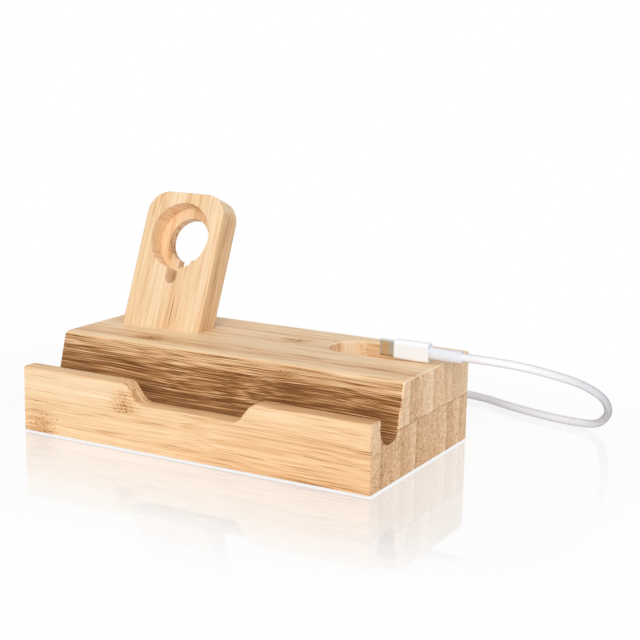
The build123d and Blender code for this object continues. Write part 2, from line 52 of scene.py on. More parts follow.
print("pieces from the model:", len(nodes))

# %% [markdown]
# ## The camera
# A camera can be aimed by eye, by a constraint or by numbers. Here the photograph's own camera was
# worked out from the block's corners, so its place, its three angles and its lens are numbers. The
# angles are the bearing round the block, the height above the horizon and a slight lean.

# %% Place the camera
BEARING, RISE, LEAN = math.radians(28.897), math.radians(11.836), math.radians(1.069)
CAMERA_PLACE = Vector((288.0, -461.44, 161.93)) * MM
PICTURE_SIDE_PX, FOCAL_PX, SENSOR_MM = 640, 1400, 36

back = Vector((math.sin(BEARING) * math.cos(RISE), -math.cos(BEARING) * math.cos(RISE), math.sin(RISE)))
level = Vector((0, 0, 1)).cross(back).normalized()
upright = back.cross(level)
right = level * math.cos(LEAN) + upright * math.sin(LEAN)
up = upright * math.cos(LEAN) - level * math.sin(LEAN)
turn = Matrix((right, up, back)).transposed().to_4x4()

camera_data = bpy.data.cameras.new("photograph_camera")
camera_data.sensor_width = SENSOR_MM
camera_data.lens = SENSOR_MM * FOCAL_PX / PICTURE_SIDE_PX
camera = bpy.data.objects.new("photograph_camera", camera_data)
camera.matrix_world = Matrix.Translation(CAMERA_PLACE) @ turn
bpy.context.scene.collection.objects.link(camera)
bpy.context.scene.camera = camera
print("lens in mm:", camera_data.lens)

# %% [markdown]
# ## The lead's route
# A lead could be swept by hand, simulated as a chain, or drawn as one smooth line. One NURBS line is
# used, because it bends everywhere a little, as a soft jacket does. Its first points leave the plug
# straight, turn down in a wide loop and run back behind the block. There the spare length lies in a
# flat coil of two layers, and the last points lead from the coil to the broad plug.

# %% Points of the free stretches, in metres
LEAD_DIAMETER = 3.2 * MM
LOOP_POINTS = [
    (0.0865, 0.0150, 0.04065),
    (0.0905, 0.0150, 0.04065),
    (0.0970, 0.0152, 0.0406),
    (0.1085, 0.0185, 0.0395),
    (0.1200, 0.0285, 0.0352),
    (0.1267, 0.0403, 0.0300),
    (0.1305, 0.0529, 0.0229),
    (0.1292, 0.0653, 0.0152),
    (0.1253, 0.0762, 0.0088),
    (0.1189, 0.0838, 0.0025),
    (0.1073, 0.0864, 0.0016),
    (0.0930, 0.0892, 0.0016),
    (0.0765, 0.0950, 0.0016),
    (0.0590, 0.1032, 0.0016),
    (0.0420, 0.1046, 0.0016),
    (0.0270, 0.1010, 0.0025),
    (0.0152, 0.1010, 0.0025),
]
TAIL_POINTS = [
    (0.0088, 0.09725, 0.00625),
    (-0.0035, 0.09725, 0.00625),
    (-0.0160, 0.0982, 0.0050),
    (-0.0280, 0.0973, 0.0040),
    (-0.0380, 0.0973, 0.0040),
]
print("points of the loop and of the tail:", len(LOOP_POINTS), len(TAIL_POINTS))

# %% Points of the coil
COIL_ENTRY = Vector((12.0, 101.0, 2.5)) * MM
COIL_OUTER_RADIUS, COIL_PITCH = 23.225 * MM, 3.75 * MM
INWARD_HALF_TURNS, POINTS_PER_HALF_TURN = 7, 12


def coil_points():
    """Points of the coil. Half circles follow each other: they shrink by half a pitch each, one climbs
    to the upper layer where the line turns back, and they grow again. The line stays inside its points
    by the cosine of half an angle step, so the points lie that much further out."""
    step = math.pi / POINTS_PER_HALF_TURN
    inward = [COIL_OUTER_RADIUS - k * COIL_PITCH / 2 for k in range(INWARD_HALF_TURNS)]
    radii = inward + [inward[-1] - COIL_PITCH / 2] + inward[:0:-1]
    here, side, points = COIL_ENTRY.copy(), 1, []
    for half_turn, radius in enumerate(radii):
        climb = COIL_PITCH if half_turn == INWARD_HALF_TURNS else 0
        centre = here - Vector((0, side * radius, 0))
        wide = radius / math.cos(step / 2)
        for k in range(POINTS_PER_HALF_TURN):
            angle = (k + 0.5) * step
            offset = Vector((-side * math.sin(angle) * wide, side * math.cos(angle) * wide, 0))
            points.append(centre + offset + Vector((0, 0, climb * (1 - math.cos(angle)) / 2)))
        here = centre - Vector((0, side * radius, -climb))
        side = -side
    return points


coil = coil_points()
print("coil points:", len(coil), "coil ends at (mm):", [round(c / MM, 2) for c in coil[-1]])

# %% Draw the lead as one spline
lead_data = bpy.data.curves.new("charging_lead", "CURVE")
lead_data.dimensions = "3D"
lead_data.bevel_depth = 1.0
lead_data.bevel_resolution = 10
lead_data.use_fill_caps = True
route = [*LOOP_POINTS, *coil, *TAIL_POINTS]
line = lead_data.splines.new("NURBS")
line.points.add(len(route) - 1)
line.points.foreach_set("co", np.c_[np.array(route), np.ones(len(route))].ravel())
line.points.foreach_set("radius", np.full(len(route), LEAD_DIAMETER / 2))
line.order_u = 3
line.use_endpoint_u = True
line.resolution_u = 16
line.use_smooth = True
lead = bpy.data.objects.new("charging_lead", lead_data)
bpy.context.scene.collection.objects.link(lead)
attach(lead, "root")
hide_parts("cable_loop", "cable_coil", "cable_tail")
print("points of the lead's line:", len(route))

# %% [markdown]
# ## Turned and woven pieces
# A strain relief is a soft moulded sleeve that keeps a lead from kinking where it leaves its plug. It
# is round, so it is a turned surface: one profile carried round an axis. Modelling it from rings by
# hand would work too, but a formula for the profile keeps its groove, taper and end lip exact.


# %% A mesh from a grid of points
def grid_piece(name, points, texture_mm=None):
    """A piece from a grid of points with the shape (along, across, 3). Neighbours in the grid make
    quads, the last column joins the first one, and the two ends are filled. texture_mm holds a (u, v)
    for each grid line, in millimetres, as the piece's UV map."""
    along, across = points.shape[:2]
    a, b = np.meshgrid(np.arange(along - 1), np.arange(across), indexing="ij")
    corners = [(a, b), (a, b + 1), (a + 1, b + 1), (a + 1, b)]
    quads = np.stack([i * across + j % across for i, j in corners], axis=-1).reshape(-1, 4)
    ends = [list(range(across))[::-1], list(range((along - 1) * across, along * across))]
    mesh = bpy.data.meshes.new(name)
    mesh.from_pydata(points.reshape(-1, 3).tolist(), [], quads.tolist() + ends)
    if texture_mm is not None:
        u, v = texture_mm
        pairs = np.stack([np.stack([u[i], v[j]], axis=-1) for i, j in corners], axis=-2).reshape(-1, 2)
        end_pairs = np.zeros((len(mesh.loops) - len(pairs), 2))
        mesh.uv_layers.new(name="cloth_mm").data.foreach_set("uv", np.r_[pairs, end_pairs].ravel())
    mesh.shade_smooth()
    mesh.update()
    piece = bpy.data.objects.new(name, mesh)
    bpy.context.scene.collection.objects.link(piece)
    return piece


# %% The strain relief's profile and its surface
RELIEF_TIP_RADIUS, LEAD_BORE, RELIEF_END_ROUND = 2.25, 1.57, 0.35  # millimetres
PLUG_GROOVE = (0.75, 0.26, 0.2)  # place, depth and width in millimetres, counted from the plug
LIP_GROOVE = (-1.5, 0.14, 0.16)  # the same, its place counted back from the end
TURNED_SIDES, END_STEPS, MIDDLE_STEPS = 64, 12, 120


def relief_profile(length, root):
    """(x, r) along a relief, in millimetres: a straight taper from root to tip, less a groove beside the
    plug and a finer one before the end lip. Each groove is a bell curve, and each end is rounded by a
    quarter of an ellipse. The last points turn inwards to the lead."""
    bend = np.linspace(0, np.pi / 2, END_STEPS)[:-1]
    near_end = RELIEF_END_ROUND * (1 - np.cos(bend))
    middle = np.linspace(RELIEF_END_ROUND, length - RELIEF_END_ROUND, MIDDLE_STEPS)
    x = np.r_[near_end, middle, (length - near_end)[::-1]]
    r = root + (RELIEF_TIP_RADIUS - root) * x / length
    for place, depth, width in (PLUG_GROOVE, (length + LIP_GROOVE[0], *LIP_GROOVE[1:])):
        r = r - depth * np.exp(-((x - place) / width) ** 2)
    share = np.clip(1 - np.minimum(x, length - x) / RELIEF_END_ROUND, 0, 1)
    r = r - RELIEF_END_ROUND * (1 - np.sqrt(1 - share**2))
    return np.r_[np.c_[x, r], [[length, LEAD_BORE]]]


def turned(profile, start):
    """The profile turned about the line through start along X: (x, r) goes to (x, r cos a, r sin a) for
    each angle a. The angles run backwards, so that the faces look outwards."""
    a = -np.linspace(0, 2 * np.pi, TURNED_SIDES, endpoint=False)
    x, r = profile[:, :1], profile[:, 1:]
    ring = np.stack([np.broadcast_to(x, (len(x), TURNED_SIDES)), r * np.cos(a), r * np.sin(a)], axis=-1)
    return (ring + np.array(start)) * MM


# %% Make the two strain reliefs
RELIEFS = [
    # name, node of the model, start in mm, length and root radius in mm
    ("plug_relief_sleeve", "plug_strain_relief", (73.3, 15.0, 40.65), 13.2, 2.4),
    ("supply_relief_sleeve", "usb_strain_relief", (-48.0, 97.3, 4.0), 10.0, 3.1),
]
reliefs = []
for name, node, start, length, root in RELIEFS:
    piece = grid_piece(name, turned(relief_profile(length, root), start))
    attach(piece, "root")
    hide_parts(node)
    reliefs.append(piece)
    print(name, "faces:", len(piece.data.polygons))

# %% [markdown]
# The coil is held by a strap of woven nylon tape with a hook fastening. The tape is one flat section
# carried round the bundle. Its free end goes on past its start and lies on it, as a real tape does, so
# the line lifts by one thickness before it crosses its own beginning.

# %% The strap's line
STRAP_WIDTH, STRAP_THICKNESS, STRAP_CORNER = 8.0, 0.8, 1.6  # millimetres
STRAP_START_SHARE, STRAP_END_SHARE = 0.45, 0.86  # how far along the top the tape starts and ends
LIFT_BEFORE, LIFT_LENGTH, LIFT_GAP = 3.0, 5.0, 0.05  # millimetres
SIDE_STEPS, CORNER_STEPS, SECTION_STEPS = 24, 13, 40
STRAP_LOW, STRAP_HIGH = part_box("coil_tie")


def strap_centre_line():
    """(x, z, nx, nz, s) along the tape's middle: the outline of a rounded rectangle, walked once and a
    little more, with the outward normal and the length so far. The place is corner centre plus radius
    times normal, and past the first turn the radius grows by one thickness in a smooth step."""
    low = np.array([STRAP_LOW.x, STRAP_LOW.z]) / MM + STRAP_THICKNESS / 2
    high = np.array([STRAP_HIGH.x, STRAP_HIGH.z]) / MM - STRAP_THICKNESS / 2
    corner = STRAP_CORNER + STRAP_THICKNESS / 2
    centres = np.array([[high[0] - corner, high[1] - corner], [low[0] + corner, high[1] - corner],
                        [low[0] + corner, low[1] + corner], [high[0] - corner, low[1] + corner]])
    turns = [np.linspace(90 + 90 * k, 180 + 90 * k, CORNER_STEPS) for k in range(4)]
    angle = np.concatenate([np.full(SIDE_STEPS, 90.0), *turns, np.full(SIDE_STEPS, 450.0)])
    radial = np.c_[np.cos(np.radians(angle)), np.sin(np.radians(angle))]
    top = centres[1] - centres[0]
    first = centres[0] + np.linspace(STRAP_START_SHARE, 1, SIDE_STEPS)[:, None] * top
    last = centres[0] + np.linspace(0, 1, SIDE_STEPS)[:, None] * top * STRAP_END_SHARE
    hubs = [np.repeat(centres[[k]], CORNER_STEPS, 0) for k in (1, 2, 3, 0)]
    place = np.concatenate([first, *hubs, last]) + corner * radial
    run = np.r_[0, np.cumsum(np.linalg.norm(np.diff(place, axis=0), axis=1))]
    share = np.clip((run - (run[-SIDE_STEPS] - LIFT_BEFORE)) / LIFT_LENGTH, 0, 1)
    lift = share**2 * (3 - 2 * share) * (STRAP_THICKNESS + LIFT_GAP)
    return np.c_[place + radial * lift[:, None], radial, run]


# %% The strap round the coil
def strap_surface():
    """The tape's section, a flat bar with rounded edges, carried along the centre line. The section's
    points are (across, out) = (w/2 cos^(1/4) a, t/2 sin^(1/2) a) with the signs of the cosine and the
    sine, which is a bar with soft corners."""
    line = strap_centre_line()
    a = np.linspace(0, 2 * np.pi, SECTION_STEPS, endpoint=False)
    across = np.sign(np.cos(a)) * np.abs(np.cos(a)) ** 0.25 * STRAP_WIDTH / 2
    out = np.sign(np.sin(a)) * np.abs(np.sin(a)) ** 0.5 * STRAP_THICKNESS / 2
    middle_y = (STRAP_LOW.y + STRAP_HIGH.y) / 2 / MM
    x = line[:, :1] + line[:, 2:3] * out
    y = middle_y + np.broadcast_to(across, x.shape)
    z = line[:, 1:2] + line[:, 3:4] * out
    return np.stack([x, y, z], axis=-1) * MM, (line[:, 4], np.r_[across, across[:1]])


strap_points, strap_texture = strap_surface()
strap = grid_piece("coil_strap", strap_points, texture_mm=strap_texture)
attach(strap, "root")
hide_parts("coil_tie")
print("strap length in mm:", round(strap_texture[0][-1], 1))

# %% [markdown]
# A lead is moved by hand, and its plugs, sleeves and strap go with it.

# %% [markdown]
# ## How a finish is written
# A finish is a small network of nodes. Colours are written as on a web page, so one function turns
# them into the linear values that a renderer adds up. One other function adds a node, sets it and
# links it, which keeps each network readable from top to bottom.


# %% Colours and nodes
def linear(colour):
    """An sRGB hex colour as linear RGBA: c/12.92 below 0.04045, and ((c + 0.055)/1.055)^2.4 above."""
    parts = [int(colour[i:i + 2], 16) / 255 for i in (1, 3, 5)]
    return (*[c / 12.92 if c <= 0.04045 else ((c + 0.055) / 1.055) ** 2.4 for c in parts], 1.0)


def add_node(tree, kind, inputs=None, stops=None, **settings):
    """Adds a shader node, sets its settings, and gives each input, by name or number, a value or a
    link: a socket, or a node, which stands for its first output. stops fills a colour ramp with
    (place, colour) pairs."""
    node = tree.nodes.new("ShaderNode" + kind)
    for key, value in settings.items():
        setattr(node, key, value)
    if stops:
        ramp = node.color_ramp
        while len(ramp.elements) < len(stops):
            ramp.elements.new(1.0)
        for element, (place, colour) in zip(ramp.elements, stops):
            element.position, element.color = place, colour
    for socket, value in (inputs or {}).items():
        value = value.outputs[0] if isinstance(value, bpy.types.Node) else value
        if isinstance(value, bpy.types.NodeSocket):
            tree.links.new(value, node.inputs[socket])
        else:
            node.inputs[socket].default_value = value
    return node


def new_finish(name):
    """An empty material and its node tree."""
    material = bpy.data.materials.new(name)
    material.use_nodes = True
    material.node_tree.nodes.clear()
    return material, material.node_tree


def dress(finish, *pieces):
    """Gives the pieces this finish in place of what they have."""
    for piece in pieces:
        piece.data.materials.clear()
        piece.data.materials.append(finish)


# Settings of a Map Range node that eases in and out, and of a Mix node for colours
SMOOTH, OF_COLOURS = {"interpolation_type": "SMOOTHSTEP"}, {"data_type": "RGBA"}
print("linear value of a mid cream:", [round(c, 3) for c in linear("#F6D9A8")])

# %% [markdown]
# ## Bamboo
# Bamboo is a grass. Its wall is pale tissue with stiff dark bundles that run along the stem, so a long
# face shows fine lines and a cut end shows dots. Boards are glued up from strips, and each strip has
# its own tone. Where a stem had a joint, the strip shows a band of dark specks. A flat picture would
# tear at every edge, so the wood is a solid pattern in space: the same bundles make the lines on the
# long faces and the dots on the ends. A colour ramp across the strips holds each one's tone and the
# place of its joint, because those can be read from the real piece.

# %% Sizes and tones of the pattern
# Sizes in millimetres along the grain, across it and through it. Bundles stand about 0.6 mm apart in a
# real stem. Its fibres are finer than a tenth of that, so they are drawn as wide as they need to show
BUNDLE_SIZE, FIBRE_SIZE = (34.0, 0.64, 0.64), (26.0, 0.28, 0.28)
BAND_SIZE, SPECK_SIZE = (140.0, 2.6, 2.6), (1.05, 0.55, 0.55)
LAYER_SIZE, RAIL_LAYER_SIZE = (140.0, 0.9, 26.0), (140.0, 26.0, 0.9)
DRIFT_SIZE, DRIFT_REACH = (70, 18, 18), (5.0, 2.6, 2.6)
JOINT_HALF_WIDTH, JOINT_REACH, JOINT_START = 10.5, 400.0, -100.0
STRIP_GAP, SEAM_HALF_WIDTH = 0.01, 0.13
APART_ALONG, APART_THROUGH = 900.0, 70.0  # how far apart two strips take their fibres, at most

# A bundle and a speck as shares of the way from their middle to the next one
BUNDLE_CORE, BUNDLE_DOT, SPECK_CORE, SPECK_REACH = (0.10, 0.36), (0.05, 0.62), 0.08, (0.24, 0.60)

# How much each feature darkens the wood, where 1 runs from the palest tone to the darkest
BAND_SHARE, SPECK_SHARE, JOINT_SHARE, GLUE_SHARE, SEAM_SHARE = 0.5, 0.95, 0.22, 0.15, 0.4
MEAN_TONE, END_OFFSET, SLANT_SHARE = 0.76, -0.08, 1.3
LONG_EDGE_SHARE, END_EDGE_SHARE = -0.06, -0.16
DOT_SHARE, LAYER_SHARE, END_TONE_SHARE = 0.55, 0.55, 0.5
# On the slot's wall: stronger fibre streaks with a painted shade, and a painted shade that grows with
# depth
SLOT_STREAK_SHARE, SLOT_OFFSET, SLOT_PAINTED_SHADE = 1.1, -0.38, 0.34
SLOT_PAINTED_SHADE_FROM, SLOT_PAINTED_SHADE_TO = 35.0, 28.0  # heights in millimetres
# The painted shade along the wood, where the light falls off, grows between these places
PAINTED_SHADE_ALONG_FROM, PAINTED_SHADE_ALONG_TO = -60.0, 70.0  # places along the grain in millimetres

# How far a face has to look along the grain, from 0 to 1, to count as slanted or as a cut end
SLANT_FROM, SLANT_TO, END_FROM, END_TO = 0.1, 0.7, 0.8, 0.97

LONG_TONES = [(0.0, "#FBE7CC"), (0.22, "#F6DAB4"), (0.42, "#EFC99D"), (0.58, "#E1B181"),
              (0.76, "#BB8754"), (1.0, "#7C5029")]
END_TONES = [(0.0, "#FFE7CA"), (0.3, "#F1CEA5"), (0.52, "#E1B68C"), (0.75, "#C2966A"), (1.0, "#98704A")]
LONG_GRAIN, END_GRAIN = [[(place, linear(colour)) for place, colour in tones]
                         for tones in (LONG_TONES, END_TONES)]
print("tones of a long face and of an end:", len(LONG_GRAIN), len(END_GRAIN))


# %% The strip that a point lies in
def strip_table(tree, across, strips, end):
    """The strip at a place across the board, as three sockets: its tone, the place of its joint as a
    share of the joints' reach, and how far across the strip the point lies, from 0 to 1. A colour ramp
    holds them as red, green and blue, with two stops for each strip, a hair inside its edges."""
    low, stops = strips[0][0], []
    for (start, tone, joint), stop in zip(strips, [strip[0] for strip in strips[1:]] + [end]):
        share = (joint - JOINT_START) / JOINT_REACH
        for place, inside in ((start + STRIP_GAP, 0.0), (stop - STRIP_GAP, 1.0)):
            stops.append(((place - low) / (end - low), (tone, share, inside, 1)))
    run = add_node(tree, "MapRange", {0: across, 1: low, 2: end})
    table = add_node(tree, "ValToRGB", {0: run}, stops=stops)
    return add_node(tree, "SeparateColor", {0: table}).outputs


def grain_pattern(tree, kind, place, size):
    """A noise or a cell pattern that is stretched to this size along, across and through the grain."""
    scale = tuple(1 / side for side in size)
    stretched = add_node(tree, "VectorMath", {0: place, 1: scale}, operation="MULTIPLY")
    return add_node(tree, kind, {"Vector": stretched, "Scale": 1.0})


# %% Bundles, joints and glue
def bundle_lines(tree, bundles, bands):
    """A bundle is dark at its core, some are darker than others, and they crowd in the dark bands."""
    core = add_node(tree, "MapRange", {0: bundles.outputs["Distance"], 1: BUNDLE_CORE[0],
                                       2: BUNDLE_CORE[1], 3: 1.0, 4: 0.0}, **SMOOTH)
    luck = add_node(tree, "SeparateColor", {0: bundles.outputs["Color"]})
    dark_one = add_node(tree, "MapRange", {0: luck, 1: 0.0, 2: 0.8}, **SMOOTH)
    crowd = add_node(tree, "MapRange", {0: bands, 1: 0.40, 2: 0.60, 3: 0.5, 4: 1.0})
    chosen = add_node(tree, "Math", {0: core, 1: dark_one}, operation="MULTIPLY")
    return add_node(tree, "Math", {0: chosen, 1: crowd}, operation="MULTIPLY")


def joint_marks(tree, wavy, joint_share, inside, specks):
    """How near a point is to its strip's joint, and the specks there. Their number falls off on both
    sides of the joint's place along the grain, and towards one side of the strip."""
    middle = add_node(tree, "Math", {0: joint_share, 1: JOINT_REACH, 2: JOINT_START},
                      operation="MULTIPLY_ADD")
    wavy_x = add_node(tree, "SeparateXYZ", {0: wavy})
    along = add_node(tree, "Math", {0: wavy_x, 1: middle}, operation="SUBTRACT")
    away = add_node(tree, "Math", {0: along}, operation="ABSOLUTE")
    near = add_node(tree, "MapRange", {0: away, 2: JOINT_HALF_WIDTH, 3: 1.0, 4: 0.0}, **SMOOTH)
    gathered = add_node(tree, "MapRange", {0: inside, 1: 0.35, 2: 0.85, 3: 1.0, 4: 0.25}, **SMOOTH)
    joint = add_node(tree, "Math", {0: near, 1: gathered}, operation="MULTIPLY")
    number, size, depth = add_node(tree, "SeparateColor", {0: specks.outputs["Color"]}).outputs
    present = add_node(tree, "Math", {0: joint, 1: number}, operation="GREATER_THAN")
    reach = add_node(tree, "MapRange", {0: size, 3: SPECK_REACH[0], 4: SPECK_REACH[1]})
    dot = add_node(tree, "MapRange", {0: specks.outputs["Distance"], 1: SPECK_CORE, 2: reach, 3: 1.0,
                                      4: 0.0})
    shown = add_node(tree, "Math", {0: dot, 1: present}, operation="MULTIPLY")
    strength = add_node(tree, "MapRange", {0: depth, 3: 0.35, 4: 0.95})
    return joint, add_node(tree, "Math", {0: shown, 1: strength}, operation="MULTIPLY")


def glue_lines(tree, inside):
    """Thin lines where a strip begins or ends: x (1 - x) is nearly 0 there."""
    rest = add_node(tree, "Math", {0: 1.0, 1: inside}, operation="SUBTRACT")
    edge = add_node(tree, "Math", {0: inside, 1: rest}, operation="MULTIPLY")
    return add_node(tree, "MapRange", {0: edge, 1: 0.0, 2: 0.028, 3: 1.0, 4: 0.0})


# %% Adding up what darkens the wood
def add_up(tree, total, steps):
    """A running sum: each (value, weight) adds its value times its weight."""
    for value, weight in steps:
        total = add_node(tree, "Math", {0: value, 1: weight, 2: total}, operation="MULTIPLY_ADD")
    return total


def turned_to(tree, normal, axis):
    """How far a face looks along an axis, either way: 0 beside it, 1 straight along it."""
    facing = add_node(tree, "VectorMath", {0: normal, 1: axis}, operation="DOT_PRODUCT")
    return add_node(tree, "Math", {0: facing.outputs["Value"]}, operation="ABSOLUTE")


def slot_streaks_and_painted_shade(tree, across, height, slot_edge, fibres):
    """What darkens the wall of the slot: its fibre streaks, drawn stronger than elsewhere and with a
    painted shade over them, and a painted shade that grows with depth. It is 0 behind the slot's edge."""
    opened = add_node(tree, "Math", {0: across, 1: slot_edge}, operation="LESS_THAN")
    streaks = add_node(tree, "Math", {0: fibres, 1: SLOT_STREAK_SHARE, 2: SLOT_OFFSET},
                       operation="MULTIPLY_ADD")
    shade = add_node(tree, "MapRange", {0: height, 1: SLOT_PAINTED_SHADE_FROM, 2: SLOT_PAINTED_SHADE_TO, 3: 0.0,
                                        4: SLOT_PAINTED_SHADE}, **SMOOTH)
    deeper = add_node(tree, "Math", {0: streaks, 1: shade}, operation="ADD")
    return add_node(tree, "Math", {0: opened, 1: deeper}, operation="MULTIPLY")


# %% The bamboo finish
def bamboo(name, axes, strips, end, line_strength=0.6, fibre_strength=1.0, slot_edge=None, seam=None,
           layer_size=LAYER_SIZE, painted_shade_along=0.0, side_tone=0.0, painted_edge_highlight=0.0):
    """A bamboo finish. axes are the directions along the grain, across the strips and through them.
    strips are (start in mm, tone from 0 to 1, place of the joint in mm), and end is where the last one
    stops. line_strength and fibre_strength say how clearly the bundles and the fibres show on a long
    face. slot_edge is the place across the strips before which the wood is cut open by the slot and gets
    the slot's streaks and painted shade, and seam the height of a glue line between boards. deepen is
    how much darker the wood is painted from one end to the other, a painted shade where the light falls
    off, side_tone how much darker the strips are on their narrow sides, and painted_edge_highlight how
    much paler the eased edges of the ends are painted, a painted highlight along them."""
    finish, tree = new_finish(name)
    place = add_node(tree, "TexCoord")
    grain = add_node(tree, "Mapping", {"Vector": place.outputs["Object"], "Scale": (1 / MM,) * 3,
                                       "Rotation": Matrix(axes).to_euler()})
    along, across, through = add_node(tree, "SeparateXYZ", {0: grain}).outputs
    # A slow drift keeps the lines from being ruled
    slow = add_node(tree, "VectorMath", {0: grain, 1: tuple(1 / side for side in DRIFT_SIZE)},
                    operation="MULTIPLY")
    drift = add_node(tree, "TexNoise", {"Vector": slow, "Scale": 1.0, "Detail": 1.0})
    shift = add_node(tree, "VectorMath", {0: drift.outputs["Color"], 1: (0.5,) * 3},
                     operation="SUBTRACT")
    wavy = add_node(tree, "VectorMath", {0: shift, 1: DRIFT_REACH, 2: grain}, operation="MULTIPLY_ADD")
    # Each strip takes its fibres from another part of the pattern
    tone, joint_share, inside = strip_table(tree, across, strips, end)
    apart_x = add_node(tree, "Math", {0: joint_share, 1: APART_ALONG}, operation="MULTIPLY")
    apart_z = add_node(tree, "Math", {0: tone, 1: APART_THROUGH}, operation="MULTIPLY")
    apart = add_node(tree, "CombineXYZ", {0: apart_x, 2: apart_z})
    own = add_node(tree, "VectorMath", {0: wavy, 1: apart}, operation="ADD")
    fibres, bands, layers = [grain_pattern(tree, "TexNoise", own, size).outputs[0]
                             for size in (FIBRE_SIZE, BAND_SIZE, layer_size)]
    bundles, specks = [grain_pattern(tree, "TexVoronoi", own, size)
                       for size in (BUNDLE_SIZE, SPECK_SIZE)]
    # What both kinds of face show
    joint, speck = joint_marks(tree, wavy, joint_share, inside, specks)
    steps = [(bands, BAND_SHARE), (speck, SPECK_SHARE), (joint, JOINT_SHARE),
             (glue_lines(tree, inside), GLUE_SHARE)]
    # Painted shade: the tone darkens from one end to the other, where the light falls off
    if painted_shade_along:
        run = add_node(tree, "MapRange", {0: along, 1: PAINTED_SHADE_ALONG_FROM, 2: PAINTED_SHADE_ALONG_TO}, **SMOOTH)
        steps.append((run, painted_shade_along))
    if seam is not None:
        at_seam = add_node(tree, "Math", {0: through, 1: seam, 2: SEAM_HALF_WIDTH}, operation="COMPARE")
        steps.append((at_seam, SEAM_SHARE))
    base = add_node(tree, "Math", {0: tone, 1: MEAN_TONE}, operation="SUBTRACT")
    total = add_up(tree, base, steps)
    # A long face adds lines and fibres, a slanted cut also shows the layers, and the eased edges of
    # the ends get a painted highlight
    endwise = turned_to(tree, place.outputs["Normal"], axes[0])
    narrow = turned_to(tree, place.outputs["Normal"], axes[1])
    slant = add_node(tree, "MapRange", {0: endwise, 1: SLANT_FROM, 2: SLANT_TO})
    layer_tone = add_node(tree, "Math", {0: layers, 1: 0.5}, operation="SUBTRACT")
    slanted = add_node(tree, "Math", {0: slant, 1: layer_tone}, operation="MULTIPLY")
    long_base = add_node(tree, "Math", {0: total, 1: (1 - fibre_strength) / 2}, operation="ADD")
    steps = [(bundle_lines(tree, bundles, bands), line_strength), (fibres, fibre_strength),
             (inside, LONG_EDGE_SHARE), (slanted, SLANT_SHARE), (narrow, side_tone), (slant, -painted_edge_highlight)]
    # The wall of the slot gets stronger streaks and painted shade
    if slot_edge is not None:
        steps.append((slot_streaks_and_painted_shade(tree, across, through, slot_edge, fibres), 1.0))
    long_total = add_up(tree, long_base, steps)
    long_colour = add_node(tree, "ValToRGB", {0: long_total}, stops=LONG_GRAIN)
    # A cut end shows every bundle as a dot, and they stand closer on one side of each strip
    dots = add_node(tree, "MapRange", {0: bundles.outputs["Distance"], 1: BUNDLE_DOT[0],
                                       2: BUNDLE_DOT[1], 3: 1.0, 4: 0.0})
    end_base = add_node(tree, "Math", {0: total, 1: END_OFFSET}, operation="ADD")
    end_total = add_up(tree, end_base, [(dots, DOT_SHARE), (layers, LAYER_SHARE),
                                        (inside, END_EDGE_SHARE), (tone, END_TONE_SHARE)])
    end_colour = add_node(tree, "ValToRGB", {0: end_total}, stops=END_GRAIN)
    endness = add_node(tree, "MapRange", {0: endwise, 1: END_FROM, 2: END_TO}, **SMOOTH)
    colour = add_node(tree, "Mix", {0: endness, 6: long_colour, 7: end_colour}, **OF_COLOURS)
    # Oiled wood: a low, soft sheen that is duller in the dark lines, which lie a little lower
    roughness = add_node(tree, "MapRange", {0: long_total, 3: 0.38, 4: 0.58})
    bump = add_node(tree, "Bump", {"Height": long_total, "Strength": 0.5, "Distance": 0.05 * MM},
                    invert=True)
    shader = add_node(tree, "BsdfPrincipled", {
        "Base Color": colour.outputs[2], "Roughness": roughness, "IOR": 1.5, "Specular IOR Level": 0.14,
        "Coat Weight": 0.02, "Coat Roughness": 0.3, "Normal": bump})
    add_node(tree, "OutputMaterial", {0: shader})
    return finish


# %% Strips of each bamboo piece
PLANK_TILT = math.radians(22.0)
RAIL_AXES = ((1, 0, 0), (0, 0, 1), (0, -1, 0))
BOARD_AXES = ((1, 0, 0), (0, 1, 0), (0, 0, 1))
PLANK_AXES = ((0, math.sin(PLANK_TILT), math.cos(PLANK_TILT)), (1, 0, 0),
              (0, math.cos(PLANK_TILT), -math.sin(PLANK_TILT)))
RAIL_STRIPS = [(-2.0, 0.41, -70.0), (14.8, 0.33, -28.0)]
UPPER_STRIPS = [(-36.0, 0.62, 210.0), (-26.0, 0.40, 30.0), (-17.0, 0.38, 180.0), (-11.8, 0.52, -41.0),
                (-0.7, 0.36, 96.0), (9.0, 0.42, 240.0), (18.2, 0.40, 12.0), (26.9, 0.42, 150.0),
                (37.5, 0.32, 60.0)]
LOWER_STRIPS = [(-36.0, 0.56, 120.0), (-26.0, 0.50, 230.0), (-18.5, 0.56, -30.0), (-12.5, 0.46, 66.0),
                (-5.5, 0.54, 190.0), (7.5, 0.46, -62.0), (22.5, 0.54, 140.0), (29.5, 0.42, 33.0),
                (34.5, 0.48, 250.0)]
PLANK_STRIPS = [(-70.0, 0.40, 200.0), (-58.4, 0.30, 75.0), (-49.2, 0.44, 240.0), (-39.6, 0.34, 130.0),
                (-29.7, 0.47, 180.0)]
RAIL_END, BOARD_END, PLANK_END = 28.0, 44.0, -28.0
SLOT_EDGE, SEAM_HEIGHT = -16.5, 19.8
print("strips in rail, boards and plank:", len(RAIL_STRIPS), len(UPPER_STRIPS), len(LOWER_STRIPS),
      len(PLANK_STRIPS))

# %% Finish the bamboo pieces
# Two broad strips pressed on each other: a calm honey face with long fine lines and two speckled
# joints, and a painted shade that darkens it towards its right end
rail_bamboo = bamboo("laminated_bamboo_rail", RAIL_AXES, RAIL_STRIPS, RAIL_END, line_strength=0.36,
                     fibre_strength=0.72, layer_size=RAIL_LAYER_SIZE, painted_shade_along=0.13, side_tone=0.22)
